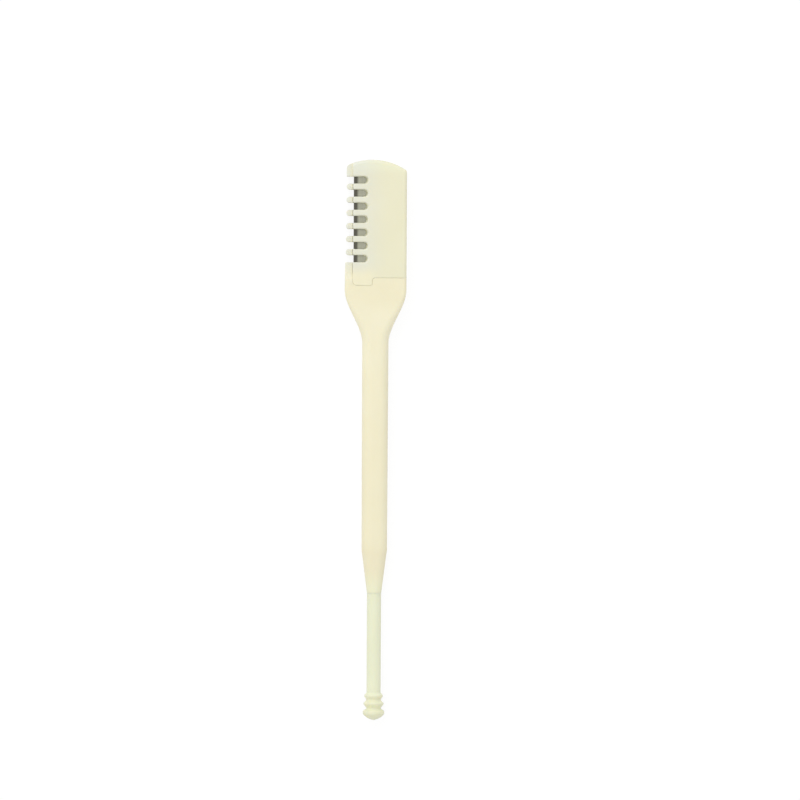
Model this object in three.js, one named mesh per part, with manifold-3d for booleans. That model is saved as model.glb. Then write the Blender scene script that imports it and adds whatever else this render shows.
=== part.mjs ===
// Manual nose hair trimmer: a flat comb head with a fixed blade, a slim stem and a ringed ear pick.
// Millimetres. The trimmer lies on its back: +X to the right seen from the front, +Y from the pick to
// the head, +Z out of the front face. The origin is under the middle of the whole object.
import * as THREE from 'three';
import { mergeVertices } from 'three/addons/utils/BufferGeometryUtils.js';
import Module from 'manifold-3d';

// Whole object
const OVERALL_LENGTH = 85;
const THICKNESS = 3.4;

// Head: a flat plate with a curved crown, drawn in a little towards the crown on its comb side
const HEAD_WIDTH = 9.36;
const HEAD_TAPER = 0.22;
const HEAD_EDGE_RADIUS = 0.5;
const CROWN_RADIUS = 9.2;
const CROWN_OFFSET = 0.55; // the crown's highest point lies this far to the comb side of the axis
const CROWN_CORNER = 0.1; // radius of the crown's right corner, inside its rounded edge
const CROWN_LEAN = 20; // degrees from the side at which that corner stops

// Neck, stem, shoulder and collar
const NECK_LENGTH = 8.15;
const STEM_HEAD_WIDTH = 3.99;
const STEM_PICK_WIDTH = 3.85;
const STEM_EDGE_RADIUS = 1.4;
const SHOULDER_LENGTH = 6.5;
const COLLAR_DIAMETER = 2.16;

// Comb: gaps between rounded teeth, open on the left
const GAP_COUNT = 7;
const GAP_WIDTH = 1.08;
const TOOTH_WIDTH = 0.91;
const TOOTH_LENGTH = 2; // front teeth, from their ends to the closed end of a gap
const GAP_END_SLOPE = 0.3; // a front gap's closed end leans back this far up to the front face
const REAR_REACH = 1.19; // the rear teeth stand this far past the front ones
const TOOTH_RELIEF = 0.04; // the rear teeth stop this far short of the head's side
const CROWN_MARGIN = 2.53; // from the crown's highest point to the first gap

// Comb cover, set into the head and flush with the neck
const PLATE_THICKNESS = 1.3; // rear comb plate under the cover
const COVER_FOOT = 2.37; // from the last gap to the cover's lower edge
const TAB_DEPTH = 1.16;
const TAB_WIDTH = 3.02;
const TAB_OUTER_RADIUS = 0.65;
const TAB_INNER_RADIUS = 0.3;
const STEP_RADIUS = 0.45;
const TAB_MARGIN = 0.62; // from the tab's end to the neck
const RIM_RISE = 0.5; // the head's left rim and the rear teeth's ends stand this far above the plate
const RAMP_LENGTH = 2.2; // below the comb the left rim rises to the front face over this length

// Blade
const BLADE_THICKNESS = 0.25;
const BLADE_WIDTH = 5.2;
const BLADE_OVERRUN = 1.3; // past the comb at each end
const BEVEL_WIDTH = 0.66;
const EDGE_LAND = 0.04; // thickness left at the cutting edge
const EDGE_SETBACK = 0.11; // the edge lies this far behind the ends of the front teeth

// Posts that hold the blade and the cover
const POST_DIAMETER = 1.3;
const POST_INSET = 1.5; // from the closed ends of the gaps to the posts' middle
const COVER_SKIN = 0.7; // left between a post's socket and the front face

// Ear pick
const PICK_LENGTH = 19.3; // from its tip to the collar
const PICK_DIAMETER = 2.14;
const RING_COUNT = 3;
const TIP_RING_PITCH = 1.48; // from where the tip is first at its widest to the next ring
const RING_PITCH = 1.17; // between the others
const RING_DIAMETER = 3.28; // ring nearest the tip
const RING_DIAMETER_STEP = 0.22; // each next ring is this much smaller
const RING_ROOT_DIAMETER = 2.22;
const TIP_LENGTH = 1.02;
const TIP_FULLNESS = 1.5; // power of the tip's outline: 1 is a cone, 2 an ellipse
const TIP_BAND = 0.3; // height of the tip's widest part
const TIP_FLANK = 0.45; // from there to the bottom of the first groove
const SPIGOT_DIAMETER = 1.4;
const SPIGOT_LENGTH = 6;
const SPIGOT_CHAMFER = 0.25;

// Clearances
const SEAM_GAP = 0.14; // round the cover, seen from the front
const SEAT_GAP = 0.05; // between faces that seat on each other
const POST_GAP = 0.06; // round a post, on the radius
const POCKET_GAP = 0.15; // round the blade in its pocket
const SPIGOT_GAP = 0.05; // round the spigot, on the radius

// Facets
const SECTION_POINTS = 36;
const NECK_STEPS = 16;
const SHOULDER_STEPS = 8;
const ARC_STEPS = 4; // for each quarter or half round of an outline, doubled
const GAP_END_STEPS = 8;
const CROWN_STEPS = 20;
const CORNER_STEPS = 4;
const EDGE_STEPS = 4;
const ROUND_STEPS = 24;
const WAVE_STEPS = 5;
const DOME_STEPS = 7;

// Stations along the length
const crownTop = OVERALL_LENGTH / 2;
const pickTip = -OVERALL_LENGTH / 2;
const gapPitch = GAP_WIDTH + TOOTH_WIDTH;
const combTop = crownTop - CROWN_MARGIN;
const combBottom = combTop - GAP_COUNT * GAP_WIDTH - (GAP_COUNT - 1) * TOOTH_WIDTH;
const coverFoot = combBottom - COVER_FOOT;
const tabEnd = coverFoot - TAB_DEPTH;
const neckTop = tabEnd - TAB_MARGIN;
const stemTop = neckTop - NECK_LENGTH;
const collarEnd = pickTip + PICK_LENGTH;
const shoulderTop = collarEnd + SHOULDER_LENGTH;

// Places across the head
const headSide = HEAD_WIDTH / 2;
const coverLeft = -headSide + REAR_REACH;
const gapEnd = coverLeft + TOOTH_LENGTH;
const postX = gapEnd + POST_INSET;
const postYs = [combBottom + GAP_WIDTH / 2, combTop - GAP_WIDTH / 2];

// Levels through the thickness
const axisZ = THICKNESS / 2;
const rimZ = PLATE_THICKNESS + RIM_RISE;
const seatZ = PLATE_THICKNESS + SEAT_GAP;
const pocketZ = seatZ + BLADE_THICKNESS + SEAT_GAP;
const socketZ = THICKNESS - COVER_SKIN;

// Cutting shapes run past the object by this much
const BEYOND = HEAD_WIDTH;

const { degToRad, lerp, smoothstep } = THREE.MathUtils;
const wasm = await Module();
wasm.setup();

// A closed geometry as a solid: shared vertices merged, and the empty triangles of a lathe's axis dropped.
function solid(geometry) {
  geometry.deleteAttribute('normal');
  geometry.deleteAttribute('uv');
  const merged = mergeVertices(geometry);
  const corners = merged.index.array;
  const triangles = [];
  for (let i = 0; i < corners.length; i += 3) {
    const [a, b, c] = corners.subarray(i, i + 3);
    if (a !== b && b !== c && c !== a) {
      triangles.push(a, b, c);
    }
  }
  return new wasm.Manifold(new wasm.Mesh({
    numProp: 3,
    vertProperties: new Float32Array(merged.attributes.position.array),
    triVerts: new Uint32Array(triangles),
  }));
}

function pieceOf(name, body, material) {
  const mesh = body.getMesh();
  const geometry = new THREE.BufferGeometry();
  geometry.setAttribute('position', new THREE.BufferAttribute(mesh.vertProperties, mesh.numProp));
  geometry.setIndex(new THREE.BufferAttribute(mesh.triVerts, 1));
  geometry.computeVertexNormals();
  const piece = new THREE.Mesh(geometry, material);
  piece.name = name;
  return piece;
}

// An outline in plan, raised from one level to another.
function prism(shape, low, high) {
  const geometry = new THREE.ExtrudeGeometry(shape, {
    depth: high - low,
    bevelEnabled: false,
    curveSegments: ARC_STEPS,
  });
  return solid(geometry.translate(0, 0, low));
}

// A closed skin through rings of equally many points, each turning anticlockwise about the way they are
// stacked. The first and last rings are convex and are closed flat.
function skin(rings) {
  const count = rings[0].length;
  const last = (rings.length - 1) * count;
  const triangles = [];
  for (let start = 0; start < last; start += count) {
    for (let j = 0; j < count; j++) {
      const a = start + j;
      const b = start + (j + 1) % count;
      triangles.push(a, b, a + count, b, b + count, a + count);
    }
  }
  for (let j = 1; j < count - 1; j++) {
    triangles.push(0, j + 1, j, last, last + j, last + j + 1);
  }
  const geometry = new THREE.BufferGeometry();
  geometry.setAttribute('position', new THREE.Float32BufferAttribute(rings.flat(2), 3));
  geometry.setIndex(triangles);
  return solid(geometry);
}

// Points of a round at height z, from one angle to another.
function arc(x, y, z, radius, from, to, steps) {
  const points = [];
  for (let k = 0; k <= steps; k++) {
    const angle = lerp(from, to, k / steps);
    points.push([x + radius * Math.cos(angle), y + radius * Math.sin(angle), z]);
  }
  return points;
}

// An outline in side view (length, height), drawn out across the width.
function sidePrism(shape, left, right) {
  const geometry = new THREE.ExtrudeGeometry(shape, { depth: right - left, bevelEnabled: false });
  const alongX = new THREE.Matrix4().makeBasis(
    new THREE.Vector3(0, 1, 0),
    new THREE.Vector3(0, 0, 1),
    new THREE.Vector3(1, 0, 0),
  );
  return solid(geometry.applyMatrix4(alongX).translate(left, 0, 0));
}

function uprightRod(x, y, low, high, radius) {
  const geometry = new THREE.CylinderGeometry(radius, radius, high - low, ROUND_STEPS);
  return solid(geometry.rotateX(Math.PI / 2).translate(x, y, (low + high) / 2));
}

// The head's left side draws in towards the crown.
function headLeft(y) {
  return headSide - HEAD_TAPER * (y - neckTop) / (crownTop - neckTop);
}

// Width to the left and right of the axis, half thickness and edge radius of the handle at y.
function sectionAt(y) {
  if (y >= neckTop) {
    return { left: headLeft(y), right: headSide, half: axisZ, radius: HEAD_EDGE_RADIUS };
  }
  if (y >= shoulderTop) {
    const up = Math.min((y - shoulderTop) / (stemTop - shoulderTop), 1);
    const spread = smoothstep(y, stemTop, neckTop);
    const side = lerp(lerp(STEM_PICK_WIDTH, STEM_HEAD_WIDTH, up) / 2, headSide, spread);
    const radius = lerp(STEM_EDGE_RADIUS, HEAD_EDGE_RADIUS, spread);
    return { left: side, right: side, half: axisZ, radius };
  }
  const along = (y - collarEnd) / SHOULDER_LENGTH;
  const collar = COLLAR_DIAMETER / 2;
  const side = lerp(collar, STEM_PICK_WIDTH / 2, along);
  const half = lerp(collar, axisZ, along);
  const radius = Math.min(lerp(collar, STEM_EDGE_RADIUS, along), side, half);
  return { left: side, right: side, half, radius };
}

// A rounded rectangle through each station, joined into one closed skin.
function handleLoft() {
  const stations = [];
  for (let i = 0; i <= SHOULDER_STEPS; i++) {
    stations.push(lerp(collarEnd, shoulderTop, i / SHOULDER_STEPS));
  }
  for (let i = 0; i <= NECK_STEPS; i++) {
    stations.push(lerp(stemTop, neckTop, i / NECK_STEPS));
  }
  stations.push(crownTop);

  const step = 2 * Math.PI / SECTION_POINTS;
  const rings = stations.map((y) => {
    const { left, right, half, radius } = sectionAt(y);
    const reach = radius / Math.cos(step / 2);
    const ring = [];
    for (let j = 0; j < SECTION_POINTS; j++) {
      const across = Math.sin((j + 0.5) * step);
      const up = Math.cos((j + 0.5) * step);
      const x = reach * across + (across > 0 ? right - radius : radius - left);
      const z = reach * up + Math.sign(up) * (half - radius);
      ring.push([x, y, axisZ + z]);
    }
    return ring;
  });
  return skin(rings);
}

// The crown seen from the front at height z, drawn in: a wide arc and the round of its right corner.
function crownRing(z, drawnIn) {
  const cornerRadius = HEAD_EDGE_RADIUS + CROWN_CORNER;
  const cornerX = headSide - cornerRadius;
  const centreY = crownTop - CROWN_RADIUS;
  const rise = Math.sqrt((CROWN_RADIUS - cornerRadius) ** 2 - (cornerX + CROWN_OFFSET) ** 2);
  const meeting = Math.atan2(rise, cornerX + CROWN_OFFSET);
  const lean = degToRad(CROWN_LEAN);
  const wide = CROWN_RADIUS - drawnIn;
  const corner = arc(cornerX, centreY + rise, z, cornerRadius - drawnIn, lean, meeting, CORNER_STEPS);
  const right = arc(-CROWN_OFFSET, centreY, z, wide, meeting, Math.PI / 2, CROWN_STEPS);
  const left = arc(-CROWN_OFFSET, centreY, z, wide, Math.PI / 2, Math.PI, CROWN_STEPS);
  const footX = corner[0][0] + OVERALL_LENGTH * Math.tan(lean);
  const footY = corner[0][1] - OVERALL_LENGTH;
  return [
    [-CROWN_OFFSET - wide, footY, z],
    [footX, footY, z],
    ...corner,
    ...right.slice(1),
    ...left.slice(1),
  ];
}

// Everything below the crown, with the crown's edges rounded like the head's.
function belowCrown() {
  const back = [crownRing(-BEYOND, HEAD_EDGE_RADIUS)];
  const front = [crownRing(THICKNESS + BEYOND, HEAD_EDGE_RADIUS)];
  for (let k = 0; k <= EDGE_STEPS; k++) {
    const angle = k / EDGE_STEPS * Math.PI / 2;
    const height = HEAD_EDGE_RADIUS * (1 - Math.cos(angle));
    const drawnIn = HEAD_EDGE_RADIUS * (1 - Math.sin(angle));
    back.push(crownRing(height, drawnIn));
    front.unshift(crownRing(THICKNESS - height, drawnIn));
  }
  return skin([...back, ...front]);
}

// The cover seen from the front, grown all round: straight left side, tab, step and lower edge.
function coverShape(grow) {
  const left = coverLeft - grow;
  const tabSide = coverLeft + TAB_WIDTH + grow;
  const foot = coverFoot - grow;
  const end = tabEnd - grow;
  const outer = TAB_OUTER_RADIUS + grow;
  const inner = TAB_INNER_RADIUS + grow;
  const step = STEP_RADIUS - grow;
  const shape = new THREE.Shape();
  shape.moveTo(left, crownTop + BEYOND);
  shape.lineTo(left, end + outer);
  shape.absarc(left + outer, end + outer, outer, Math.PI, 1.5 * Math.PI);
  shape.absarc(tabSide - inner, end + inner, inner, 1.5 * Math.PI, 2 * Math.PI);
  shape.absarc(tabSide + step, foot - step, step, Math.PI, Math.PI / 2, true);
  shape.lineTo(headSide + BEYOND, foot);
  shape.lineTo(headSide + BEYOND, crownTop + BEYOND);
  return shape;
}

function gapMiddle(i) {
  return combTop - GAP_WIDTH / 2 - i * gapPitch;
}

// What is open between and beyond the rear teeth, from the first gap to the last.
function rearCombOpening() {
  const round = GAP_WIDTH / 2;
  const tip = TOOTH_WIDTH / 2;
  const shape = new THREE.Shape();
  shape.moveTo(-headSide - BEYOND, combTop);
  shape.lineTo(gapEnd - round, combTop);
  for (let i = 0; i < GAP_COUNT; i++) {
    const y = gapMiddle(i);
    shape.absarc(gapEnd - round, y, round, Math.PI / 2, -Math.PI / 2, true);
    if (i < GAP_COUNT - 1) {
      const toothY = y - gapPitch / 2;
      const tipX = tip + TOOTH_RELIEF - headLeft(toothY);
      shape.absarc(tipX, toothY, tip, Math.PI / 2, 1.5 * Math.PI);
    }
  }
  shape.lineTo(-headSide - BEYOND, combBottom);
  return shape;
}

// One gap of the cover: open on the left, with a round closed end that leans back up to the front face.
function frontGap(i) {
  const y = gapMiddle(i);
  const round = GAP_WIDTH / 2;
  const open = coverLeft - BEYOND;
  const slope = GAP_END_SLOPE / (THICKNESS - pocketZ);
  const rings = [-BEYOND, pocketZ, THICKNESS + BEYOND].map((z) => {
    const end = gapEnd - round + slope * Math.max(z - pocketZ, 0);
    const closed = arc(end, y, z, round, -Math.PI / 2, Math.PI / 2, GAP_END_STEPS);
    return [[open, y - round, z], ...closed, [open, y + round, z]];
  });
  return skin(rings);
}

// Above the head's left rim: level along the rear teeth, then a ramp up to the front face.
function rimShape() {
  const run = RAMP_LENGTH / (THICKNESS - rimZ);
  const high = THICKNESS + BEYOND;
  const shape = new THREE.Shape();
  shape.moveTo(crownTop + BEYOND, rimZ);
  shape.lineTo(crownTop + BEYOND, high);
  shape.lineTo(combBottom - run * (high - rimZ), high);
  shape.lineTo(combBottom, rimZ);
  return shape;
}

// Head, neck and stem with nothing cut out of them; the handle and the cover are both cut from it.
const blank = handleLoft().intersect(belowCrown());

function handleBody() {
  let body = blank
    .subtract(prism(coverShape(SEAM_GAP), PLATE_THICKNESS, THICKNESS + BEYOND))
    .subtract(sidePrism(rimShape(), -headSide - BEYOND, coverLeft - SEAM_GAP / 2))
    .subtract(prism(rearCombOpening(), -BEYOND, THICKNESS + BEYOND));
  for (const y of postYs) {
    const post = uprightRod(postX, y, PLATE_THICKNESS / 2, socketZ - SEAT_GAP, POST_DIAMETER / 2);
    body = body.add(post);
  }
  const socketLength = SPIGOT_LENGTH + SPIGOT_CHAMFER;
  const socket = new THREE.CylinderGeometry(
    SPIGOT_DIAMETER / 2 + SPIGOT_GAP,
    SPIGOT_DIAMETER / 2 + SPIGOT_GAP,
    2 * socketLength,
    ROUND_STEPS,
  );
  return body.subtract(solid(socket.translate(0, collarEnd, axisZ)));
}

function coverBody() {
  const pocket = new THREE.Shape();
  const pocketRight = coverLeft + EDGE_SETBACK + BLADE_WIDTH + POCKET_GAP;
  const pocketEnd = BLADE_OVERRUN + POCKET_GAP;
  pocket.moveTo(coverLeft - BEYOND, combBottom - pocketEnd);
  pocket.lineTo(pocketRight, combBottom - pocketEnd);
  pocket.lineTo(pocketRight, combTop + pocketEnd);
  pocket.lineTo(coverLeft - BEYOND, combTop + pocketEnd);
  let body = blank
    .intersect(prism(coverShape(0), seatZ, THICKNESS + BEYOND))
    .subtract(prism(pocket, -BEYOND, pocketZ));
  for (const y of postYs) {
    body = body.subtract(uprightRod(postX, y, 0, socketZ, POST_DIAMETER / 2 + POST_GAP));
  }
  for (let i = 0; i < GAP_COUNT; i++) {
    body = body.subtract(frontGap(i));
  }
  return body;
}

// The strip's section, with its cutting edge at the left, drawn out along the comb.
function bladeBody() {
  const length = combTop - combBottom + 2 * BLADE_OVERRUN;
  const land = EDGE_LAND / 2;
  const half = BLADE_THICKNESS / 2;
  const shape = new THREE.Shape();
  shape.moveTo(0, -land);
  shape.lineTo(BEVEL_WIDTH, -half);
  shape.lineTo(BLADE_WIDTH, -half);
  shape.lineTo(BLADE_WIDTH, half);
  shape.lineTo(BEVEL_WIDTH, half);
  shape.lineTo(0, land);
  const strip = new THREE.ExtrudeGeometry(shape, { depth: length, bevelEnabled: false });
  let body = solid(strip.rotateX(Math.PI / 2).translate(0, length, 0));
  const holeX = postX - coverLeft - EDGE_SETBACK;
  for (const y of postYs) {
    const holeY = y - combBottom + BLADE_OVERRUN;
    body = body.subtract(uprightRod(holeX, holeY, -BEYOND, BEYOND, POST_DIAMETER / 2 + POST_GAP));
  }
  return body;
}

// Half a wave between two radii, for the flanks of the rings.
function flank(points, radius, y) {
  const from = points[points.length - 1];
  for (let k = 1; k <= WAVE_STEPS; k++) {
    const along = k / WAVE_STEPS;
    const across = (1 - Math.cos(Math.PI * along)) / 2;
    points.push(new THREE.Vector2(lerp(from.x, radius, across), lerp(from.y, y, along)));
  }
}

// Profile of the pick from its domed tip, over the rings, up the rod and along the spigot.
function pickBody() {
  const tipRadius = RING_DIAMETER / 2;
  const points = [new THREE.Vector2(0, 0)];
  for (let k = 1; k <= DOME_STEPS; k++) {
    const angle = k / DOME_STEPS * Math.PI / 2;
    const across = Math.sin(angle) ** (2 / TIP_FULLNESS);
    const along = 1 - Math.cos(angle) ** (2 / TIP_FULLNESS);
    points.push(new THREE.Vector2(tipRadius * across, TIP_LENGTH * along));
  }
  const bandEnd = TIP_LENGTH + TIP_BAND;
  points.push(new THREE.Vector2(tipRadius, bandEnd));
  flank(points, RING_ROOT_DIAMETER / 2, bandEnd + TIP_FLANK);
  let crest = TIP_LENGTH + TIP_RING_PITCH;
  for (let ring = 1; ring < RING_COUNT; ring++) {
    const above = ring < RING_COUNT - 1 ? RING_ROOT_DIAMETER : PICK_DIAMETER;
    flank(points, tipRadius - ring * RING_DIAMETER_STEP / 2, crest);
    flank(points, above / 2, crest + RING_PITCH / 2);
    crest += RING_PITCH;
  }
  const shoulder = PICK_LENGTH - SEAT_GAP;
  const end = PICK_LENGTH + SPIGOT_LENGTH;
  const spigot = SPIGOT_DIAMETER / 2;
  points.push(new THREE.Vector2(PICK_DIAMETER / 2, shoulder));
  points.push(new THREE.Vector2(spigot, shoulder));
  points.push(new THREE.Vector2(spigot, end - SPIGOT_CHAMFER));
  points.push(new THREE.Vector2(spigot - SPIGOT_CHAMFER, end));
  points.push(new THREE.Vector2(0, end));
  return solid(new THREE.LatheGeometry(points, ROUND_STEPS));
}

const warmCream = new THREE.MeshStandardMaterial({ color: 0xf2ebcb, roughness: 0.42, metalness: 0 });
const coolCream = new THREE.MeshStandardMaterial({ color: 0xecead0, roughness: 0.42, metalness: 0 });
const steel = new THREE.MeshStandardMaterial({ color: 0xa9aaa4, roughness: 0.3, metalness: 1 });

const handle = pieceOf('handle', handleBody(), warmCream);
const cover = pieceOf('comb_cover', coverBody(), coolCream);
const blade = pieceOf('blade', bladeBody(), steel);
const pick = pieceOf('ear_pick', pickBody(), coolCream);

blade.position.set(coverLeft + EDGE_SETBACK, combBottom - BLADE_OVERRUN, seatZ + BLADE_THICKNESS / 2);
pick.position.set(0, pickTip, axisZ);

const trimmer = new THREE.Group();
trimmer.add(handle, blade, cover, pick);

export default trimmer;
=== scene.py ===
# Manual nose hair trimmer: finished surfaces of the handle, comb cover, blade and ear pick.
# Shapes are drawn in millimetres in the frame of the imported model, and finish_piece() makes them metres.
import math

import bmesh
import bpy
from mathutils import Matrix, Vector


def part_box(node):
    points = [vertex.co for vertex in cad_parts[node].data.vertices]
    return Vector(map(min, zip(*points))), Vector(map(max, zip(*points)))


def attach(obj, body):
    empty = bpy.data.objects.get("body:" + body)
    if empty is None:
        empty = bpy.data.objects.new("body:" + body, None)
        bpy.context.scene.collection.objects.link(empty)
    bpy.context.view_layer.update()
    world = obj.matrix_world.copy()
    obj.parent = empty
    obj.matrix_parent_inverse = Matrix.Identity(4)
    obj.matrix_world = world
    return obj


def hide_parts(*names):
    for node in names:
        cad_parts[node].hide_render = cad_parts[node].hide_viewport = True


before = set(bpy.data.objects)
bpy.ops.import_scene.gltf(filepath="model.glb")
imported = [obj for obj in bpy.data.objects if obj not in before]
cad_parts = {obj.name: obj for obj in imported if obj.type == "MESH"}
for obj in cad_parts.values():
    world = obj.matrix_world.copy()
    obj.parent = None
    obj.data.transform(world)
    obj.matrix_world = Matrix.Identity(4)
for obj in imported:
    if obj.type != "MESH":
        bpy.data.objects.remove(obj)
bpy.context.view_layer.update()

MM = 0.001

# Head, neck, stem and shoulder of the handle
HEAD_TAPER = 0.22
HEAD_EDGE_RADIUS = 0.5
CROWN_RADIUS = 9.2
CROWN_OFFSET = 0.55
CROWN_CORNER = 0.6
NECK_LENGTH = 8.15
STEM_HEAD_WIDTH = 3.99
STEM_PICK_WIDTH = 3.85
STEM_EDGE_RADIUS = 1.4
SHOULDER_LENGTH = 6.5
COLLAR_DIAMETER = 2.16
PLATE_THICKNESS = 1.3
RIM_RISE = 0.5
RAMP_LENGTH = 2.6
RAMP_START = 0.3
RAMP_TOP_RADIUS = 1.2
RAMP_FOOT_RADIUS = 0.6

# Comb
GAP_COUNT = 7
GAP_WIDTH = 1.08
TOOTH_LENGTH = 2
TOOTH_TIP_RADIUS = 0.24
TOOTH_RELIEF = 0.04
GAP_END_SLOPE = 0.3
BLOCK_CORNER = 0.35
BLOCK_CLEAR = 0.15
REAR_BREAK = 0.18
BACK_BREAK = 0.12
SLOT_BREAK = 0.28

# Cover and its seam
TAB_DEPTH = 1.16
TAB_WIDTH = 3.02
TAB_OUTER_RADIUS = 0.65
TAB_INNER_RADIUS = 0.3
STEP_RADIUS = 0.45
TAB_MARGIN = 0.62
SEAM_LINE = 0.008
SEAM_BREAK = 0.06
COMB_LINE = 0.055
SEAT_GAP = 0.05
COVER_SKIN = 0.7
COVER_BREAK = 0.1

# Blade, its pocket in the cover and the posts that hold it
BLADE_OVERRUN = 1.3
BEVEL_WIDTH = 0.66
EDGE_LAND = 0.04
POCKET_GAP = 0.15
POCKET_CORNER = 0.2
POST_DIAMETER = 1.3
POST_INSET = 1.5
POST_GAP = 0.06
POST_CHAMFER = 0.15

# Ear pick, with the tip as the first of its rings
PICK_DIAMETER = 2.14
RING_COUNT = 3
TIP_RING_PITCH = 1.48
RING_PITCH = 1.17
RING_DIAMETER_STEP = 0.22
RING_ROOT_DIAMETER = 2.22
TIP_LENGTH = 1.02
TIP_FULLNESS = 1.5
TIP_BAND = 0.3
TIP_FLANK = 0.45
SPIGOT_DIAMETER = 1.4
SPIGOT_LENGTH = 6
SPIGOT_CHAMFER = 0.25
SPIGOT_GAP = 0.05
COLLAR_LINE = 0.004

# Fineness and smoothing of the meshes
EDGE_STEPS = 8
CORNER_STEPS = 8
CROWN_STEPS = 72
NECK_STEPS = 48
SHOULDER_STEPS = 16
ROUND_STEPS = 72
DOME_STEPS = 16
WAVE_STEPS = 12
BREAK_STEPS = 4
SHARP_ANGLE = math.radians(32)
FACE_WEIGHT = 100

# Rounds
END_ROUND = 0.49  # radius of a round end, as a share of its width
MOST_ROUND = 0.97  # most that an edge's radius takes, as a share of half the section
SHARP_RADIUS = 0.001  # radius of a corner that is drawn as sharp

# Cutting shapes
BEYOND = 9  # how far they run past the object
OVERRUN = 1  # how far they run past an end that they open
FACE_CLEAR = 0.01  # how far they stay above a face that they leave alone
PAST_FACE = 0.05  # how far a broken edge ends past its face, as a share of its radius

# Plastics, each clouded between a deep and a pale tone
HANDLE_TONES = ((0.86, 0.80, 0.56), (0.91, 0.86, 0.64))
COVER_TONES = ((0.81, 0.785, 0.565), (0.855, 0.83, 0.62))
PICK_TONES = ((0.80, 0.82, 0.60), (0.85, 0.87, 0.66))
CLOUD_SCALE = 180  # features per metre
CLOUD_DETAIL = 3
GRAIN_SCALE = 9000  # features per metre
GRAIN_DETAIL = 2
GRAIN_STRENGTH = 0.2
GRAIN_DEPTH = 0.02
MAIN_SCATTER = (0.25, 0.3)  # share and depth of the light that scatters inside
PICK_SCATTER = (0.4, 0.5)
SCATTER_COLOURS = (1, 0.9, 0.7)  # share of that depth for red, green and blue
PLASTIC_ROUGHNESS = (0.46, 0.58)
PLASTIC_IOR = 1.49

# Tints that multiply the tones in zones of the plastics
REAR_TEETH_TINT = (0.927, 0.988, 1.183)
NECK_TINT = (1.022, 1.032, 1.06)
# painted shade for the shoulder's tilt away from the light, with a slightly warmer hue
SHOULDER_PAINTED_SHADE = (0.975, 0.965, 0.95)
COLLAR_TINT = (0.98, 1.035, 1.02)
FRONT_TEETH_TINT = (0.94, 0.967, 1.115)
# painted light on the crown, which faces the light from above
CROWN_PAINTED_LIGHT = (1.033, 1.053, 1.062)
TAB_TINT = (1.063, 1.04, 1.029)
RINGS_TINT = (1.015, 0.99, 0.965)

# Distances from stations of the object where those tints start, are full, hold to or end
REAR_TINT_START = 0.3
REAR_TINT_FULL = 0.5
REAR_TINT_RISE = 0.5
NECK_TINT_START = 1
NECK_TINT_FULL = 4
NECK_TINT_HOLD = 2
NECK_TINT_END = 6
SHOULDER_TINT_START = 2.5
SHOULDER_TINT_FULL = 1
SHOULDER_TINT_HOLD = 3.5
SHOULDER_TINT_END = 1
COLLAR_TINT_LENGTH = 4.5
FRONT_TINT_START = 4
CROWN_TINT_FULL = 1
TAB_TINT_START = 2
RINGS_TINT_FULL = 1

# Steel
FLAT_TONES = ((0.37, 0.37, 0.30), (0.51, 0.51, 0.41))
# painted dark reflection on the ground bevel, standing in for the darker surroundings it would mirror
BEVEL_PAINTED_REFLECTION = (0.115, 0.11, 0.09)
BEVEL_FADE_BEFORE = 0.22  # the bevel's tone fades from this far before its end
BEVEL_FADE_PAST = 0.12  # to this far past it
BRUSH_SCALES = (6000, 200, 200)  # features per metre across, along and through the strip
BRUSH_DETAIL = 2
STEEL_ROUGHNESS = (0.25, 0.42)

# Camera
PHOTO_WIDTH = 800  # width of the photograph, in its pixels
PHOTO_LENGTH = 560  # length of the object, in the same
PHOTO_MIDDLE = (374.84, 439.97)  # middle of the object, in the same
LEAN = math.radians(0.292)
LENS = 500
SENSOR = 36
CLIP_START = 10

# Light all round and key light
WORLD_LEVEL = 0.845
KEY_WATTS = 1.85
KEY_FROM = Vector((-0.28, 0.56, 0.62))  # metres
KEY_SIZE = 0.5  # metres

# Floor
FLOOR_SIZE = 3  # metres
FLOOR_DROP = 0.1
FLOOR_GLOW = 0.9  # level of its glow where it is seen
FLOOR_SHADE = 0.12  # share of light that it shows beside its glow, which takes the object's shadow
FLOOR_BOUNCE = 0.8  # share of light that it returns to the object


def box_mm(node):
    """Lowest and highest corner of a CAD node."""
    low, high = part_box(node)
    return low / MM, high / MM


handle_low, handle_high = box_mm("handle")
cover_low = box_mm("comb_cover")[0]
blade_low, blade_high = box_mm("blade")
pick_low, pick_high = box_mm("ear_pick")

# Stations along the length
crown_top = handle_high.y
pick_tip = pick_low.y
comb_top = blade_high.y - BLADE_OVERRUN
comb_bottom = blade_low.y + BLADE_OVERRUN
tooth_width = (comb_top - comb_bottom - GAP_COUNT * GAP_WIDTH) / (GAP_COUNT - 1)
gap_pitch = GAP_WIDTH + tooth_width
tab_end = cover_low.y
cover_foot = tab_end + TAB_DEPTH
neck_top = tab_end - TAB_MARGIN
stem_top = neck_top - NECK_LENGTH
collar_end = handle_low.y
shoulder_top = collar_end + SHOULDER_LENGTH
second_ring = pick_tip + TIP_LENGTH + TIP_RING_PITCH
last_ring = second_ring + (RING_COUNT - 2) * RING_PITCH
rings_end = last_ring + RING_PITCH / 2

# Places across the head
head_side = handle_high.x
left_top = head_side - HEAD_TAPER
cover_left = cover_low.x
gap_end = cover_left + TOOTH_LENGTH
bevel_end = blade_low.x + BEVEL_WIDTH
post_x = gap_end + POST_INSET
post_ys = (comb_bottom + GAP_WIDTH / 2, comb_top - GAP_WIDTH / 2)

# Levels through the thickness
thickness = handle_high.z
axis_z = thickness / 2
rim_z = PLATE_THICKNESS + RIM_RISE
seat_z = cover_low.z
pocket_z = blade_high.z + SEAT_GAP
socket_z = thickness - COVER_SKIN


# Helpers for outlines, solids and finished pieces
def lerp(a, b, share):
    """Value between a and b by a share."""
    return a + (b - a) * share


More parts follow.
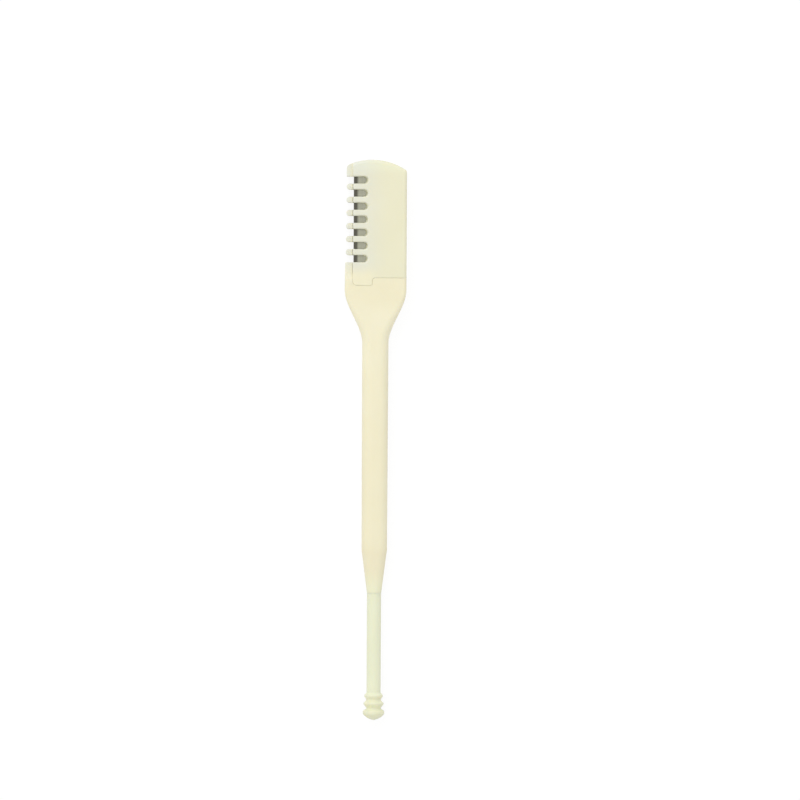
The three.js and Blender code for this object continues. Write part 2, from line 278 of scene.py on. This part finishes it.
def smoothstep(value, low, high):
    """Smooth 0 to 1 as a value goes from low to high."""
    share = min(max((value - low) / (high - low), 0), 1)
    return share * share * (3 - 2 * share)


def quarter(steps):
    """Sine and cosine through a quarter turn."""
    angles = [k / steps * math.pi / 2 for k in range(steps + 1)]
    return [(math.sin(angle), math.cos(angle)) for angle in angles]


def arc(x, y, radius, start, end, steps):
    """Points of a round from one angle to another, both ends included."""
    angles = [lerp(start, end, k / steps) for k in range(steps + 1)]
    return [(x + radius * math.cos(angle), y + radius * math.sin(angle)) for angle in angles]


def circle(x, y, radius):
    """Points of a full round."""
    return arc(x, y, radius, 0, 2 * math.pi * (1 - 1 / ROUND_STEPS), ROUND_STEPS - 1)


def rounded(corners, grow=0.0):
    """Anticlockwise outline with its (x, y, radius) corners rounded, moved outwards by grow."""
    outline = []
    for i, (x, y, radius) in enumerate(corners):
        here = Vector((x, y))
        into = (here - Vector(corners[i - 1][:2])).normalized()
        out = (Vector(corners[(i + 1) % len(corners)][:2]) - here).normalized()
        normal_in = Vector((into.y, -into.x))
        normal_out = Vector((out.y, -out.x))
        corner = here + (normal_in + normal_out) * grow / (1 + normal_in.dot(normal_out))
        side = math.copysign(1, into.x * out.y - into.y * out.x)
        bend = max(radius + side * grow, SHARP_RADIUS)
        turn = math.acos(max(-1, min(1, into.dot(out))))
        centre = corner - into * bend * math.tan(turn / 2) - normal_in * bend * side
        first = math.atan2(normal_in.y * side, normal_in.x * side)
        outline += arc(centre.x, centre.y, bend, first, first + turn * side, CORNER_STEPS)
    return outline


def shape_of(bm):
    """Object in the scene with the mesh of bm, which is used up."""
    mesh = bpy.data.meshes.new("shape")
    bm.to_mesh(mesh)
    bm.free()
    piece = bpy.data.objects.new("shape", mesh)
    bpy.context.scene.collection.objects.link(piece)
    return piece


def wrap(bm, low, high):
    """Faces all round between two rings of equally many points."""
    for j in range(len(low)):
        k = (j + 1) % len(low)
        bm.faces.new((low[j], low[k], high[k], high[j]))


def solid(rings):
    """Closed skin through rings of equally many points, each turning anticlockwise about their stacking."""
    bm = bmesh.new()
    rows = [[bm.verts.new(point) for point in ring] for ring in rings]
    for low, high in zip(rows, rows[1:]):
        wrap(bm, low, high)
    bm.faces.new(rows[0][::-1])
    bm.faces.new(rows[-1])
    return shape_of(bm)


def stack(outline, levels):
    """Solid whose plan at each level is outline(*sizes), for levels of (z, *sizes)."""
    return solid([[(x, y, z) for x, y in outline(*sizes)] for z, *sizes in levels])


def turned(profile):
    """Solid of (radius, y) rings about the pick's axis, from the tip upwards."""
    rings = []
    for radius, y in profile:
        rings.append([(x, y, z) for z, x in circle(axis_z, 0, radius)])
    return solid(rings)


def flare(face, radius, grow=0.0):
    """Levels (z, grow) of an opening that widens by radius as it comes up to a face."""
    start = face + radius * (PAST_FACE - 1)
    return [(start + radius * sine, grow + radius * (1 - cosine)) for sine, cosine in quarter(BREAK_STEPS)]


def combine(piece, tool, operation):
    """Cuts, joins or intersects a shape with another, which is used up."""
    modifier = piece.modifiers.new("combine", "BOOLEAN")
    modifier.object = tool
    modifier.operation = operation
    modifier.solver = "MANIFOLD"
    bpy.context.view_layer.update()
    evaluated = piece.evaluated_get(bpy.context.evaluated_depsgraph_get())
    combined = bpy.data.meshes.new_from_object(evaluated)
    piece.modifiers.clear()
    old = piece.data
    piece.data = combined
    bpy.data.meshes.remove(old)
    bpy.data.objects.remove(tool)


def finish_piece(piece, name, material, body, node):
    """A shape becomes a piece in metres, smooth except at its sharp edges, in place of its CAD node."""
    bm = bmesh.new()
    bm.from_mesh(piece.data)
    bmesh.ops.transform(bm, matrix=Matrix.Scale(MM, 4), verts=bm.verts)
    for face in bm.faces:
        face.smooth = True
    for edge in bm.edges:
        edge.smooth = edge.calc_face_angle(math.pi) < SHARP_ANGLE
    bm.to_mesh(piece.data)
    bm.free()
    normals = piece.modifiers.new("even_normals", "WEIGHTED_NORMAL")
    normals.keep_sharp = True
    normals.weight = FACE_WEIGHT
    piece.name = name
    piece.data.name = name
    piece.data.materials.clear()
    piece.data.materials.append(material)
    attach(piece, body)
    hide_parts(node)


# Blank of the handle and the cover
def half_width(y):
    """Half the width of the stem and neck at y."""
    up = min((y - shoulder_top) / (stem_top - shoulder_top), 1)
    stem = lerp(STEM_PICK_WIDTH, STEM_HEAD_WIDTH, up) / 2
    return lerp(stem, head_side, smoothstep(y, stem_top, neck_top))


def edge_radius(y):
    """Radius of the long edges of the stem, neck and head at y."""
    return lerp(STEM_EDGE_RADIUS, HEAD_EDGE_RADIUS, smoothstep(y, stem_top, neck_top))


def crown_corner(x):
    """Rise of a corner round's centre at x over the crown's centre, and the angle where the two meet."""
    run = x + CROWN_OFFSET
    rise = math.sqrt((CROWN_RADIUS - CROWN_CORNER) ** 2 - run ** 2)
    return rise, math.atan2(rise, run)


def plan_outline():
    """Plan of the handle from the shoulder up its right side, over the crown and down its left side."""
    centre_y = crown_top - CROWN_RADIUS
    right_x = head_side - CROWN_CORNER
    left_x = CROWN_CORNER - left_top
    right_rise, right_meet = crown_corner(right_x)
    left_rise, left_meet = crown_corner(left_x)
    side_ys = [shoulder_top]
    side_ys += [lerp(stem_top, neck_top, k / NECK_STEPS) for k in range(NECK_STEPS + 1)]
    outline = [(half_width(y), y) for y in side_ys]
    outline += arc(right_x, centre_y + right_rise, CROWN_CORNER, 0, right_meet, CORNER_STEPS)
    outline += arc(-CROWN_OFFSET, centre_y, CROWN_RADIUS, right_meet, left_meet, CROWN_STEPS)[1:-1]
    outline += arc(left_x, centre_y + left_rise, CROWN_CORNER, left_meet, math.pi, CORNER_STEPS)
    outline += [(-half_width(y), y) for y in reversed(side_ys)]
    return [Vector(point) for point in outline]


def outward(outline, i):
    """Direction straight out of the plan at its point i; square to the axis at the two ends."""
    if i in (0, len(outline) - 1):
        return Vector((math.copysign(1, outline[i].x), 0))
    along = outline[i + 1] - outline[i - 1]
    return Vector((along.y, -along.x)).normalized()


def wall_levels():
    """(inset, height, face) up a rounded side wall, in shares of the edge radius from the back or front."""
    back = [(1 - sine, 1 - cosine, -1) for sine, cosine in quarter(EDGE_STEPS)]
    return back + [(inset, height, 1) for inset, height, face in reversed(back)]


def wall_column(bm, outline, i):
    """Points up the rounded side wall at point i of the plan."""
    out = outward(outline, i)
    radius = edge_radius(outline[i].y)
    column = []
    for inset, height, face in wall_levels():
        x, y = outline[i] - out * radius * inset
        column.append(bm.verts.new((x, y, axis_z + face * (axis_z - radius * height))))
    return column


def shoulder_section(y):
    """Half width, half thickness and edge radius of the shoulder at y."""
    along = (y - collar_end) / SHOULDER_LENGTH
    collar = COLLAR_DIAMETER / 2
    side = lerp(collar, STEM_PICK_WIDTH / 2, along)
    half = lerp(collar, axis_z, along)
    radius = min(lerp(collar, STEM_EDGE_RADIUS, along), MOST_ROUND * side, MOST_ROUND * half)
    return side, half, radius


def shoulder_ring(y):
    """Points round the shoulder at y, up its right wall and down its left."""
    side, half, radius = shoulder_section(y)
    right = []
    for inset, height, face in wall_levels():
        right.append((side - radius * inset, y, axis_z + face * (half - radius * height)))
    return right + [(-x, y, z) for x, y, z in reversed(right)]


def make_blank():
    """Head, neck, stem and shoulder with nothing cut out of them."""
    bm = bmesh.new()
    outline = plan_outline()
    columns = [wall_column(bm, outline, i) for i in range(len(outline))]
    for here, there in zip(columns, columns[1:]):
        for k in range(len(here) - 1):
            bm.faces.new((here[k], there[k], there[k + 1], here[k + 1]))
    bm.faces.new([column[-1] for column in columns])
    bm.faces.new([column[0] for column in reversed(columns)])
    ring = columns[0] + columns[-1][::-1]
    for step in range(1, SHOULDER_STEPS + 1):
        y = lerp(shoulder_top, collar_end, step / SHOULDER_STEPS)
        following = [bm.verts.new(point) for point in shoulder_ring(y)]
        wrap(bm, ring, following)
        ring = following
    bm.faces.new(ring)
    return shape_of(bm)


# Outlines of the seam and the comb
def seam_outline(grow):
    """Plan of the cover round its tab and step, running out past the crown and the head's right side."""
    tab_side = cover_left + TAB_WIDTH
    return rounded([
        (cover_left, tab_end, TAB_OUTER_RADIUS),
        (tab_side, tab_end, TAB_INNER_RADIUS),
        (tab_side, cover_foot, STEP_RADIUS),
        (head_side + BEYOND, cover_foot, 0),
        (head_side + BEYOND, crown_top + BEYOND, 0),
        (cover_left, crown_top + BEYOND, 0),
    ], grow)


def gap_edges(i):
    """Lower and upper edge of gap i, counted from the pick's side."""
    low = comb_bottom + i * gap_pitch
    return low, low + GAP_WIDTH


def comb_opening(grow, block_xs, tip_xs, tip_radius, end_x):
    """What is open between and beyond a row of teeth; the blocks at both ends have rounded corners."""
    end_radius = END_ROUND * GAP_WIDTH
    bottom_x, top_x = block_xs
    outside = -head_side - BEYOND
    below = comb_bottom - OVERRUN
    above = comb_top + OVERRUN
    corners = [
        (outside, above, 0),
        (outside, below, 0),
        (bottom_x, below, 0),
        (bottom_x, comb_bottom, BLOCK_CORNER),
    ]
    for i in range(GAP_COUNT):
        low, high = gap_edges(i)
        corners += [(end_x, low, end_radius), (end_x, high, end_radius)]
        if i < GAP_COUNT - 1:
            corners += [(tip_xs[i], high, tip_radius), (tip_xs[i], high + tooth_width, tip_radius)]
    corners += [(top_x, comb_top, BLOCK_CORNER), (top_x, above, 0)]
    return rounded(corners, grow)


def rear_opening(grow):
    """Opening of the handle's comb, whose teeth end just inside the head's tapered left side."""
    block_xs = (-head_side - BLOCK_CLEAR, -left_top - BLOCK_CLEAR)
    tip_xs = []
    for i in range(GAP_COUNT - 1):
        tooth_y = gap_edges(i)[1] + tooth_width / 2
        taper = HEAD_TAPER * (tooth_y - neck_top) / (crown_top - neck_top)
        tip_xs.append(TOOTH_RELIEF + taper - head_side)
    return comb_opening(grow, block_xs, tip_xs, END_ROUND * tooth_width, gap_end)


def front_opening(grow, lean):
    """Opening of the cover's comb; the closed ends of its gaps are moved to the right by lean."""
    block_x = cover_left - BLOCK_CLEAR
    tip_xs = [cover_left] * (GAP_COUNT - 1)
    return comb_opening(grow, (block_x, block_x), tip_xs, TOOTH_TIP_RADIUS, gap_end + lean)


# Cutting shapes and posts
def recess_tool():
    """Room for the cover over the handle's plate, with the seam's edge broken at the front face."""
    levels = [(PLATE_THICKNESS, SEAM_LINE), *flare(thickness, SEAM_BREAK, SEAM_LINE)]
    levels.append((thickness + BEYOND, SEAM_LINE + SEAM_BREAK))
    return stack(seam_outline, levels)


def rim_tool():
    """What lies above the head's left rim: level along the rear teeth, then a rounded ramp to the front."""
    just_above = thickness + FACE_CLEAR
    profile = rounded([
        (comb_bottom - RAMP_START, rim_z, RAMP_FOOT_RADIUS),
        (crown_top + BEYOND, rim_z, 0),
        (crown_top + BEYOND, thickness + BEYOND, 0),
        (shoulder_top, thickness + BEYOND, 0),
        (shoulder_top, just_above, 0),
        (comb_bottom - RAMP_LENGTH, just_above, RAMP_TOP_RADIUS),
    ])
    sides = (-head_side - BEYOND, cover_left - SEAM_LINE / 2)
    return solid([[(x, y, z) for y, z in profile] for x in sides])


def slit_tool():
    """Widens the seam along the rear teeth, and less and less up the ramp."""
    low = PLATE_THICKNESS
    high = thickness + BEYOND
    ramp_top = comb_bottom - RAMP_LENGTH
    rings = []
    for y, wider in ((comb_top, COMB_LINE), (comb_bottom, COMB_LINE), (ramp_top, -SEAM_LINE / 2)):
        left = cover_left - SEAM_LINE - wider
        rings.append([(left, y, low), (cover_left, y, low), (cover_left, y, high), (left, y, high)])
    return solid(rings)


def rear_comb_tool():
    """What is open in the handle's comb, with its edges broken at the back and along the rim."""
    back = [(-z, grow) for z, grow in reversed(flare(0, BACK_BREAK))]
    front = flare(rim_z, REAR_BREAK)
    levels = [(-BEYOND, BACK_BREAK), *back, *front, (thickness + BEYOND, REAR_BREAK)]
    return stack(rear_opening, levels)


def round_tool(y, levels):
    """Round solid on the axis of the post at y, for levels of (z, radius)."""
    def plan(radius):
        return circle(post_x, y, radius)

    return stack(plan, levels)


def post_tool(y):
    """Post at y, from inside the handle's plate to just under the end of its socket."""
    radius = POST_DIAMETER / 2
    top = socket_z - SEAT_GAP
    return round_tool(y, [
        (PLATE_THICKNESS / 2, radius),
        (top - POST_CHAMFER, radius),
        (top, radius - POST_CHAMFER),
    ])


def hole_tool(y, low, high):
    """Hole from low to high for the post at y."""
    radius = POST_DIAMETER / 2 + POST_GAP
    return round_tool(y, [(low, radius), (high, radius)])


def bore_tool():
    """Bore in the collar for the pick's spigot."""
    radius = SPIGOT_DIAMETER / 2 + SPIGOT_GAP
    depth = SPIGOT_LENGTH + SPIGOT_CHAMFER
    return turned([(radius, collar_end - OVERRUN), (radius, collar_end + depth)])


def cover_tool():
    """What is kept of the blank for the cover, with the edge broken along its seam."""
    face = [(z, -grow) for z, grow in flare(thickness, COVER_BREAK)]
    return stack(seam_outline, [(seat_z, 0), *face])


def slots_tool():
    """What is open in the cover's comb: gap ends that slope back and edges broken at the front face."""
    slope = GAP_END_SLOPE / (thickness - pocket_z)
    levels = [(0, 0, 0), (pocket_z, 0, 0)]
    for z, grow in flare(thickness, SLOT_BREAK):
        levels.append((z, grow, slope * (z - pocket_z)))
    levels.append((thickness + BEYOND, SLOT_BREAK, GAP_END_SLOPE))
    return stack(front_opening, levels)


def pocket_outline():
    """Plan of the blade's pocket, open past the head's left side."""
    left = cover_left - BEYOND
    right = blade_high.x + POCKET_GAP
    low = blade_low.y - POCKET_GAP
    high = blade_high.y + POCKET_GAP
    corners = [(left, low, 0), (right, low, POCKET_CORNER), (right, high, POCKET_CORNER), (left, high, 0)]
    return rounded(corners)


# Pieces
def make_handle(material):
    """The blank with the recess, rim, comb and bore cut out of it, and with its two posts."""
    piece = make_blank()
    combine(piece, recess_tool(), "DIFFERENCE")
    combine(piece, rim_tool(), "DIFFERENCE")
    combine(piece, slit_tool(), "DIFFERENCE")
    combine(piece, rear_comb_tool(), "DIFFERENCE")
    for y in post_ys:
        combine(piece, post_tool(y), "UNION")
    combine(piece, bore_tool(), "DIFFERENCE")
    finish_piece(piece, "handle_moulding", material, "grip", "handle")


def make_cover(material):
    """The front of the blank's head with its slots, the blade's pocket and the posts' sockets cut out."""
    piece = make_blank()
    combine(piece, cover_tool(), "INTERSECT")
    combine(piece, slots_tool(), "DIFFERENCE")
    combine(piece, stack(pocket_outline, [(0,), (pocket_z,)]), "DIFFERENCE")
    for y in post_ys:
        combine(piece, hole_tool(y, 0, socket_z), "DIFFERENCE")
    finish_piece(piece, "cover_moulding", material, "cover", "comb_cover")


def make_blade(material):
    """Flat strip ground to an edge on its left, with a hole for each post."""
    middle = (blade_low.z + blade_high.z) / 2
    land = EDGE_LAND / 2
    section = [
        (blade_low.x, middle - land),
        (bevel_end, blade_low.z),
        (blade_high.x, blade_low.z),
        (blade_high.x, blade_high.z),
        (bevel_end, blade_high.z),
        (blade_low.x, middle + land),
    ]
    piece = solid([[(x, y, z) for x, z in section] for y in (blade_high.y, blade_low.y)])
    for y in post_ys:
        combine(piece, hole_tool(y, 0, thickness), "DIFFERENCE")
    finish_piece(piece, "blade_strip", material, "grip", "blade")


def dome(radius):
    """(radius, y) points of the pick's rounded end, from half a step off its tip to its full radius."""
    power = 2 / TIP_FULLNESS
    points = []
    for k in range(1, DOME_STEPS + 1):
        angle = (k - 0.5) / (DOME_STEPS - 0.5) * math.pi / 2
        rise = 1 - max(math.cos(angle), 0) ** power
        points.append((radius * math.sin(angle) ** power, pick_tip + TIP_LENGTH * rise))
    return points


def flank(start, end):
    """(radius, y) points of a wave from one crest or root to the next, without its start."""
    points = []
    for k in range(1, WAVE_STEPS + 1):
        share = k / WAVE_STEPS
        across = (1 - math.cos(math.pi * share)) / 2
        points.append((lerp(start[0], end[0], across), lerp(start[1], end[1], share)))
    return points


def pick_profile():
    """(radius, y) from the tip over the rings, up the rod and along the spigot."""
    tip_radius = pick_high.x
    root = RING_ROOT_DIAMETER / 2
    rod = PICK_DIAMETER / 2
    spigot = SPIGOT_DIAMETER / 2
    band_end = pick_tip + TIP_LENGTH + TIP_BAND
    rod_end = collar_end - COLLAR_LINE
    profile = dome(tip_radius)
    profile.append((tip_radius, band_end))
    profile += flank(profile[-1], (root, band_end + TIP_FLANK))
    for ring in range(1, RING_COUNT):
        y = second_ring + (ring - 1) * RING_PITCH
        foot = root if ring < RING_COUNT - 1 else rod
        profile += flank(profile[-1], (tip_radius - ring * RING_DIAMETER_STEP / 2, y))
        profile += flank(profile[-1], (foot, y + RING_PITCH / 2))
    profile += [(rod, rod_end), (spigot, rod_end), (spigot, pick_high.y - SPIGOT_CHAMFER)]
    profile.append((spigot - SPIGOT_CHAMFER, pick_high.y))
    return profile


def make_pick(material):
    """Ringed end, rod and spigot, turned in one."""
    piece = turned(pick_profile())
    finish_piece(piece, "pick_moulding", material, "grip", "ear_pick")


# Nodes
def new_material(name):
    """Material with nodes, and its tree of them."""
    material = bpy.data.materials.new(name)
    material.use_nodes = True
    return material, material.node_tree


def feed(tree, node, inputs):
    """Sets inputs of a node to values, or links them where the value is another node's output."""
    for key, value in inputs.items():
        if isinstance(value, bpy.types.NodeSocket):
            tree.links.new(value, node.inputs[key])
        else:
            node.inputs[key].default_value = value


def add_node(tree, kind, inputs):
    """New node with its inputs fed."""
    node = tree.nodes.new(kind)
    feed(tree, node, inputs)
    return node


def calculated(tree, operation, first, second):
    """Result of a calculation on two outputs."""
    node = add_node(tree, "ShaderNodeMath", {0: first, 1: second})
    node.operation = operation
    return node.outputs["Value"]


def noise(tree, place, scale, detail):
    """Soft noise from 0 to 1 over a place."""
    texture = add_node(tree, "ShaderNodeTexNoise", {"Vector": place, "Scale": scale, "Detail": detail})
    return texture.outputs["Fac"]


def mixed(tree, share, first, second, blend="MIX"):
    """Colour that goes from first to second, or to their blend, by a share."""
    mix = tree.nodes.new("ShaderNodeMix")
    mix.data_type = "RGBA"
    mix.blend_type = blend
    feed(tree, mix, {"Factor": share, "A": first, "B": second})
    return mix.outputs["Result"]


def spread(tree, share, low, high):
    """Value from low to high as a share goes from 0 to 1."""
    step = add_node(tree, "ShaderNodeMapRange", {"Value": share, "To Min": low, "To Max": high})
    return step.outputs["Result"]


def ramp(tree, value, low, high, kind="SMOOTHSTEP"):
    """0 to 1 as a coordinate goes from low to high."""
    inputs = {"Value": value, "From Min": low * MM, "From Max": high * MM}
    step = add_node(tree, "ShaderNodeMapRange", inputs)
    step.interpolation_type = kind
    return step.outputs["Result"]


def opaque(tone):
    """Tone as a colour for a socket."""
    return (*tone, 1)


def grey(level):
    """Neutral colour of a level for a socket."""
    return opaque((level, level, level))


def places(tree):
    """Place on the object, and the same split into X, Y and Z."""
    place = tree.nodes.new("ShaderNodeTexCoord").outputs["Object"]
    return place, add_node(tree, "ShaderNodeSeparateXYZ", {"Vector": place}).outputs


def zone_share(tree, axes, ramps):
    """Share of a zone's tint: each ramp of (axis, none, full) lets it in over a stretch of that axis."""
    steps = [ramp(tree, axes[axis], none, full) for axis, none, full in ramps]
    share = steps[0]
    for step in steps[1:]:
        share = calculated(tree, "MULTIPLY", share, step)
    return share


# Materials
def plastic(name, tones, scatter, zones):
    """Satin moulded plastic: clouded between two tones, with mould grain and zones of (tint, ramps)."""
    material, tree = new_material(name)
    place, axes = places(tree)
    deep, pale = tones
    scatter_share, scatter_depth = scatter
    clouds = noise(tree, place, CLOUD_SCALE, CLOUD_DETAIL)
    colour = mixed(tree, clouds, opaque(deep), opaque(pale))
    for tint, ramps in zones:
        colour = mixed(tree, zone_share(tree, axes, ramps), colour, opaque(tint), "MULTIPLY")
    bump = add_node(tree, "ShaderNodeBump", {
        "Strength": GRAIN_STRENGTH,
        "Distance": GRAIN_DEPTH * MM,
        "Height": noise(tree, place, GRAIN_SCALE, GRAIN_DETAIL),
    })
    feed(tree, tree.nodes["Principled BSDF"], {
        "Base Color": colour,
        "Normal": bump.outputs["Normal"],
        "Roughness": spread(tree, clouds, *PLASTIC_ROUGHNESS),
        "IOR": PLASTIC_IOR,
        "Subsurface Weight": scatter_share,
        "Subsurface Radius": SCATTER_COLOURS,
        "Subsurface Scale": scatter_depth * MM,
    })
    return material


def handle_cream():
    """Warm cream: cooler on the rear teeth and collar, paler at the neck, and deeper at the shoulder as
    painted shade for its tilt away from the light.
    """
    rear_teeth = (REAR_TEETH_TINT, [
        ("X", cover_left + REAR_TINT_START, cover_left - REAR_TINT_FULL),
        ("Y", neck_top + REAR_TINT_RISE, comb_bottom),
        ("Z", 0, rim_z),
    ])
    neck = (NECK_TINT, [
        ("Y", neck_top - NECK_TINT_START, stem_top + NECK_TINT_FULL),
        ("Y", stem_top - NECK_TINT_END, stem_top - NECK_TINT_HOLD),
    ])
    # painted shade: the shoulder is darkened where it tilts away from the light, and warmed a little
    shoulder = (SHOULDER_PAINTED_SHADE, [
        ("Y", shoulder_top + SHOULDER_TINT_START, shoulder_top - SHOULDER_TINT_FULL),
        ("Y", collar_end + SHOULDER_TINT_END, collar_end + SHOULDER_TINT_HOLD),
    ])
    collar = (COLLAR_TINT, [("Y", collar_end + COLLAR_TINT_LENGTH, collar_end)])
    return plastic("handle_cream", HANDLE_TONES, MAIN_SCATTER, [rear_teeth, neck, shoulder, collar])


def cover_cream():
    """Cooler cream: nearly neutral on the front teeth, paler at the crown as painted light from above, and
    warmer on the tab.
    """
    front_teeth = (FRONT_TEETH_TINT, [
        ("X", gap_end + FRONT_TINT_START, cover_left),
        ("Y", cover_foot, comb_bottom),
        ("Z", seat_z, thickness),
    ])
    # painted light: paler towards the crown, where light from above falls on it
    crown = (CROWN_PAINTED_LIGHT, [("Y", comb_top, crown_top - CROWN_TINT_FULL)])
    tab = (TAB_TINT, [("Y", comb_bottom, cover_foot), ("X", gap_end + TAB_TINT_START, gap_end)])
    return plastic("cover_cream", COVER_TONES, MAIN_SCATTER, [front_teeth, crown, tab])


def pick_cream():
    """Greenish cream, a little warmer on the rings."""
    rings = (RINGS_TINT, [("Y", rings_end, rings_end - RINGS_TINT_FULL)])
    return plastic("pick_cream", PICK_TONES, PICK_SCATTER, [rings])


def blade_steel():
    """Steel brushed along the strip, with its ground bevel along the cutting edge painted dark as a
    reflection of darker surroundings.
    """
    material, tree = new_material("blade_steel")
    place, axes = places(tree)
    stretch = add_node(tree, "ShaderNodeMapping", {"Vector": place, "Scale": BRUSH_SCALES})
    brushing = noise(tree, stretch.outputs["Vector"], scale=1, detail=BRUSH_DETAIL)
    dull, bright = FLAT_TONES
    flat = mixed(tree, brushing, opaque(dull), opaque(bright))
    # the ground bevel gets a painted dark reflection, which fades into the brushed flat
    past_bevel = ramp(tree, axes["X"], bevel_end - BEVEL_FADE_BEFORE, bevel_end + BEVEL_FADE_PAST, "LINEAR")
    feed(tree, tree.nodes["Principled BSDF"], {
        "Base Color": mixed(tree, past_bevel, opaque(BEVEL_PAINTED_REFLECTION), flat),
        "Metallic": 1,
        "Roughness": spread(tree, brushing, *STEEL_ROUGHNESS),
    })
    return material


# Camera, light and floor
def add_camera():
    """Camera straight above the front face, framed like the photograph."""
    data = bpy.data.cameras.new("camera")
    data.lens = LENS
    data.sensor_width = SENSOR
    data.clip_start = CLIP_START * MM
    camera = bpy.data.objects.new("camera", data)
    bpy.context.scene.collection.objects.link(camera)
    pixel = (crown_top - pick_tip) / PHOTO_LENGTH
    centre = PHOTO_WIDTH / 2
    off = Vector((centre - PHOTO_MIDDLE[0], PHOTO_MIDDLE[1] - centre)) * pixel
    off.rotate(Matrix.Rotation(LEAN, 2))
    distance = PHOTO_WIDTH * pixel * LENS / SENSOR
    camera.location = Vector((off.x, off.y, axis_z + distance)) * MM
    camera.rotation_euler = (0, 0, LEAN)
    bpy.context.scene.camera = camera


def seen_directly(tree):
    """1 where the surroundings are seen, also in gloss or glass, and 0 where they light the object."""
    path = tree.nodes.new("ShaderNodeLightPath").outputs
    either = calculated(tree, "MAXIMUM", path["Is Camera Ray"], path["Is Glossy Ray"])
    return calculated(tree, "MAXIMUM", either, path["Is Transmission Ray"])


def surround(tree, output, lighting, seen):
    """Ends a tree in one shader for the light on the object and another for what is seen directly."""
    mix = add_node(tree, "ShaderNodeMixShader", {"Fac": seen_directly(tree), 1: lighting, 2: seen})
    tree.links.new(mix.outputs["Shader"], tree.nodes[output].inputs["Surface"])


def add_world():
    """Even light from all round, and plain white where it is seen."""
    world = bpy.data.worlds.new("studio")
    world.use_nodes = True
    tree = world.node_tree
    light = tree.nodes["Background"]
    feed(tree, light, {"Color": grey(1), "Strength": WORLD_LEVEL})
    white = add_node(tree, "ShaderNodeBackground", {"Color": grey(1), "Strength": 1})
    surround(tree, "World Output", light.outputs["Background"], white.outputs["Background"])
    bpy.context.scene.world = world


def add_key_light():
    """Soft light from the upper left, aimed at the object."""
    data = bpy.data.lights.new("key", "AREA")
    data.energy = KEY_WATTS
    data.size = KEY_SIZE
    key = bpy.data.objects.new("key", data)
    bpy.context.scene.collection.objects.link(key)
    key.location = KEY_FROM
    key.rotation_euler = (-KEY_FROM).to_track_quat("-Z", "Y").to_euler()


def floor_white():
    """Glowing white that still takes a shadow where it is seen, and a matt white that returns light."""
    material, tree = new_material("floor")
    tree.nodes.remove(tree.nodes["Principled BSDF"])
    glow = add_node(tree, "ShaderNodeEmission", {"Strength": FLOOR_GLOW})
    shade = add_node(tree, "ShaderNodeBsdfDiffuse", {"Color": grey(FLOOR_SHADE)})
    seen = add_node(tree, "ShaderNodeAddShader", {0: glow.outputs["Emission"], 1: shade.outputs["BSDF"]})
    bounce = add_node(tree, "ShaderNodeBsdfDiffuse", {"Color": grey(FLOOR_BOUNCE)})
    surround(tree, "Material Output", bounce.outputs["BSDF"], seen.outputs["Shader"])
    return material


def add_floor():
    """Plain pale floor just under the object."""
    bm = bmesh.new()
    bmesh.ops.create_grid(bm, x_segments=1, y_segments=1, size=FLOOR_SIZE / 2)
    floor = shape_of(bm)
    floor.name = "floor"
    floor.location.z = -FLOOR_DROP * MM
    floor.data.materials.append(floor_white())


make_handle(handle_cream())
make_cover(cover_cream())
make_pick(pick_cream())
make_blade(blade_steel())
add_camera()
add_world()
add_key_light()
add_floor()
bpy.context.scene.view_settings.view_transform = "Standard"
